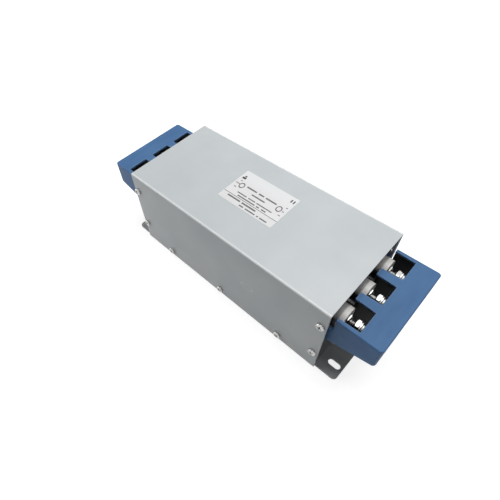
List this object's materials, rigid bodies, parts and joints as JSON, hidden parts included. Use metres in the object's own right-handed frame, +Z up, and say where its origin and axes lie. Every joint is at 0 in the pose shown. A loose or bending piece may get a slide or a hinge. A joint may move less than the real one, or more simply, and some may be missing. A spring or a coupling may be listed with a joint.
{
  "type": "three-phase line filter",
  "caption": "Box-shaped line filter in a grey sheet-metal case with slotted end flanges and blue moulded covers over the stud terminals at both ends.",
  "frame": {"origin": "middle of the mounting surface, the underside of the base", "axes": "+X along the case towards the right-hand terminals, +Y across it towards its far long side, +Z up from the mounting surface to the labelled top"},
  "size_m": [0.336, 0.1166, 0.1032],
  "materials": {
    "case_paint": "satin light grey paint",
    "base_paint": "satin light grey paint",
    "end_paint": "satin grey paint",
    "cover_plastic": "moulded blue plastic, fine grain",
    "bushing_plastic": "moulded warm white plastic",
    "stud_metal": "bright plated",
    "spring_metal": "darker plated spring steel",
    "screw_metal": "plated",
    "earth_metal": "plated",
    "label_film": "printed film",
    "insulator_plastic": "hard insulating board",
    "core_metal": "tape-wound core",
    "core_case_plastic": "moulded dark plastic",
    "bracket_metal": "plated sheet",
    "copper": "bare copper",
    "board_laminate": "green laminate",
    "standoff_brass": "bare",
    "capacitor_plastic": "moulded yellow plastic",
    "earth_capacitor_plastic": "moulded blue plastic",
    "resistor_ceramic": "lacquered ceramic"
  },
  "bodies": {
    "root": {"housing_cover": "case_paint", "base_tray": "base_paint", "end_plate_left": "end_paint", "end_plate_right": "end_paint", "terminal_cover_left": "cover_plastic", "terminal_cover_right": "cover_plastic", "bushing_1_left": "bushing_plastic", "bushing_1_right": "bushing_plastic", "bushing_2_left": "bushing_plastic", "bushing_2_right": "bushing_plastic", "bushing_3_left": "bushing_plastic", "bushing_3_right": "bushing_plastic", "terminal_studs_left": "stud_metal", "terminal_studs_right": "stud_metal", "jam_nuts": "stud_metal", "terminal_nuts": "stud_metal", "flat_washers": "stud_metal", "spring_washers": "spring_metal", "clamp_springs": "spring_metal", "side_screws": "screw_metal", "terminal_cover_screws": "screw_metal", "clinch_nuts": "screw_metal", "clamp_nuts": "screw_metal", "board_screws": "screw_metal", "earth_studs": "earth_metal", "earth_washers": "earth_metal", "earth_nuts": "earth_metal", "rating_label": "label_film", "insulating_washers": "insulator_plastic", "choke_pads": "insulator_plastic", "choke_core_left": "core_metal", "choke_core_right": "core_metal", "choke_case_left": "core_case_plastic", "choke_case_right": "core_case_plastic", "choke_bracket_left": "bracket_metal", "choke_bracket_right": "bracket_metal", "choke_bolts": "bracket_metal", "choke_bolt_nuts": "bracket_metal", "winding_1_left": "copper", "winding_1_right": "copper", "winding_2_left": "copper", "winding_2_right": "copper", "winding_3_left": "copper", "winding_3_right": "copper", "link_1_left": "copper", "link_1_right": "copper", "link_2_left": "copper", "link_2_right": "copper", "link_3_left": "copper", "link_3_right": "copper", "phase_bars": "copper", "board_leads": "copper", "capacitor_board": "board_laminate", "board_standoffs": "standoff_brass", "line_capacitor_1": "capacitor_plastic", "line_capacitor_2": "capacitor_plastic", "line_capacitor_3": "capacitor_plastic", "earth_capacitors": "earth_capacitor_plastic", "bleed_resistors": "resistor_ceramic"}
  },
  "joints": []
}
